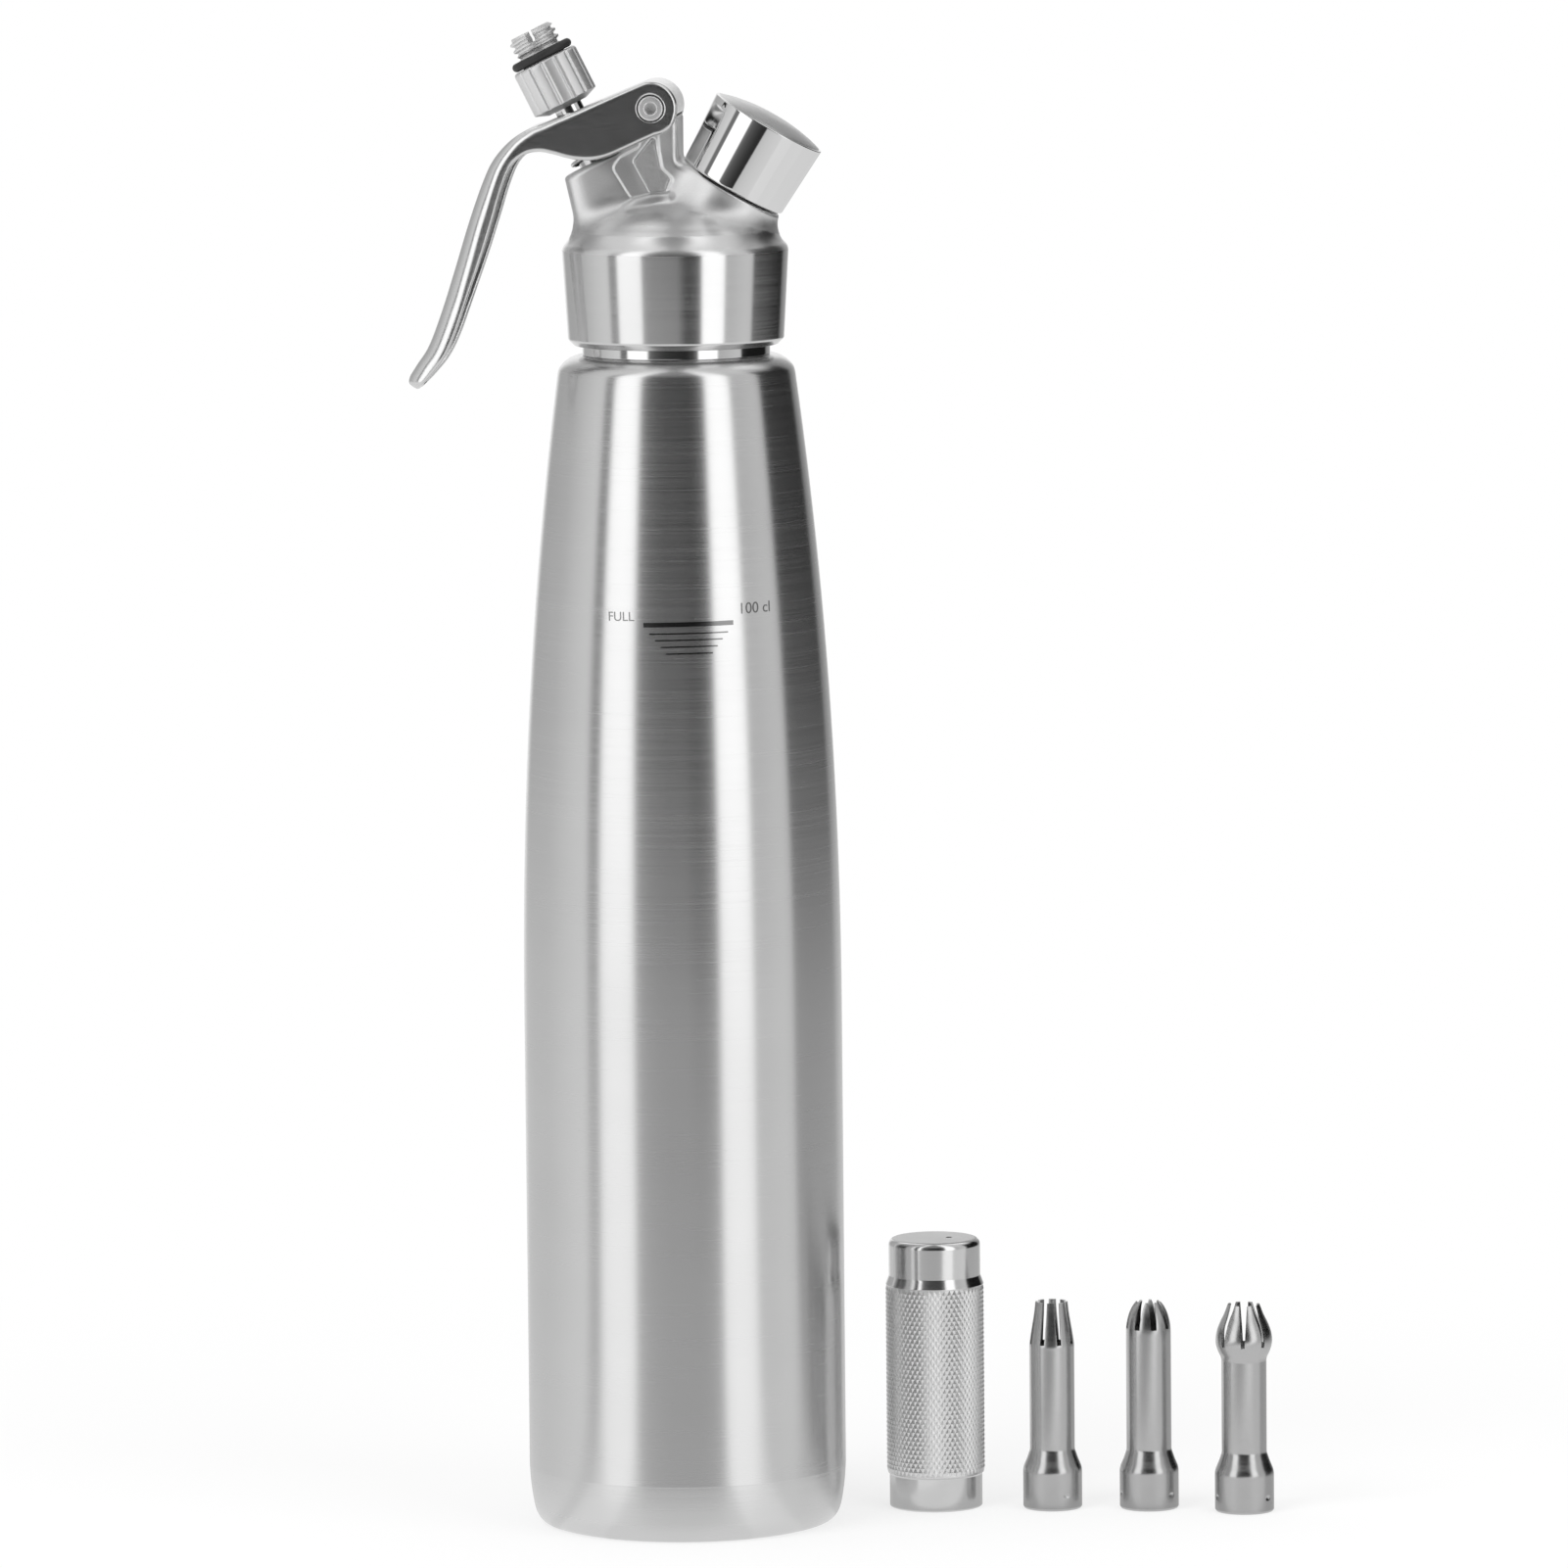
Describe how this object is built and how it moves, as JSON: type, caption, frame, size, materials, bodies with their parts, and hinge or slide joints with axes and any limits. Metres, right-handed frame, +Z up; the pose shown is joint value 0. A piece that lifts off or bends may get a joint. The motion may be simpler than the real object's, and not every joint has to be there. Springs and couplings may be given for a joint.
{
  "type": "whipped cream dispenser",
  "caption": "Tapered steel cream whipping bottle with screwed lever-valve head, charger port cap, knurled charger holder and decorating nozzles.",
  "frame": {"origin": "centre of the bottle's flat base", "axes": "+Z up along the bottle, +X from the lever side to the charger port side, +Y away from the fill mark"},
  "size_m": [0.216, 0.0802, 0.3796],
  "materials": {
    "brushed_steel": "brushed round the body",
    "satin_steel": "fine satin",
    "polished_steel": "mirror polished",
    "satin_aluminium": "satin turned",
    "black_rubber": "matte",
    "pale_silicone": "matte",
    "brass": "turned"
  },
  "bodies": {
    "bottle": {"bottle_body": "brushed_steel", "base_cup": "brushed_steel", "neck_thread_ring": "polished_steel"},
    "gasket": {"head_gasket": "pale_silicone"},
    "head": {"head_casting": "satin_steel", "valve_guide_bush": "brass", "return_spring": "polished_steel", "pivot_screw": "satin_steel", "pivot_barrel_nut": "satin_steel", "port_spigot": "satin_steel", "piercing_pin": "polished_steel", "port_gasket": "black_rubber"},
    "lever": {"lever": "polished_steel"},
    "valve": {"valve_stem": "polished_steel", "stem_o_ring": "black_rubber", "poppet_seal": "black_rubber", "poppet_disc": "satin_steel", "thrust_washer": "satin_steel", "nozzle_adapter": "satin_steel", "adapter_o_ring": "black_rubber"},
    "check_valve": {"gas_check_valve": "black_rubber"},
    "cap_seal": {"cap_seal": "black_rubber"},
    "cap": {"protective_cap": "polished_steel"},
    "charger_holder": {"charger_holder": "satin_aluminium"},
    "straight_nozzle": {"straight_nozzle": "satin_steel", "straight_nozzle_insert": "satin_aluminium"},
    "dome_nozzle": {"dome_nozzle": "satin_steel", "dome_nozzle_insert": "satin_aluminium"},
    "bulb_nozzle": {"bulb_nozzle": "satin_steel", "bulb_nozzle_insert": "satin_aluminium"}
  },
  "joints": [
    {"name": "head_rise", "type": "slide", "parent": "bottle", "child": "gasket", "axis": [0, 0, 1], "range_m": [0, 0.0201]},
    {"name": "head_turn", "type": "hinge", "parent": "gasket", "child": "head", "pos_m": [0, 0, 0.31], "axis": [0, 0, 1], "range_deg": [0, 1800]},
    {"name": "lever_squeeze", "type": "hinge", "parent": "head", "child": "lever", "pos_m": [-0.0049, 0, 0.3582], "axis": [0, -1, 0], "range_deg": [0, 14], "stiffness_Nm_per_rad": 0.8, "springref_deg": -8.59},
    {"name": "valve_push", "type": "slide", "parent": "head", "child": "valve", "axis": [0.4462, 0, -0.8949], "range_m": [0, 0.0046], "deforming": ["return_spring"]},
    {"name": "check_lift", "type": "slide", "parent": "head", "child": "check_valve", "axis": [-0.5, 0, -0.866], "range_m": [0, 0.001], "stiffness_N_per_m": 20, "springref_m": -0.001},
    {"name": "cap_rise", "type": "slide", "parent": "head", "child": "cap_seal", "axis": [0.5, 0, 0.866], "range_m": [0, 0.0121]},
    {"name": "cap_turn", "type": "hinge", "parent": "cap_seal", "child": "cap", "pos_m": [0.01435, 0, 0.3375], "axis": [0.5, 0, 0.866], "range_deg": [0, 2160]},
    {"name": "charger_holder_lift", "type": "slide", "parent": "bottle", "child": "charger_holder", "axis": [0, 0, 1], "range_m": [0, 0.1]},
    {"name": "straight_nozzle_lift", "type": "slide", "parent": "bottle", "child": "straight_nozzle", "axis": [0, 0, 1], "range_m": [0, 0.1]},
    {"name": "dome_nozzle_lift", "type": "slide", "parent": "bottle", "child": "dome_nozzle", "axis": [0, 0, 1], "range_m": [0, 0.1]},
    {"name": "bulb_nozzle_lift", "type": "slide", "parent": "bottle", "child": "bulb_nozzle", "axis": [0, 0, 1], "range_m": [0, 0.1]}
  ],
  "couplings": [
    {"joint": "head_rise", "follows": "head_turn", "m_per_rad": 0.00063662},
    {"joint": "valve_push", "follows": "lever_squeeze", "m_per_rad": 0.0186},
    {"joint": "cap_rise", "follows": "cap_turn", "m_per_rad": 0.00031831}
  ]
}
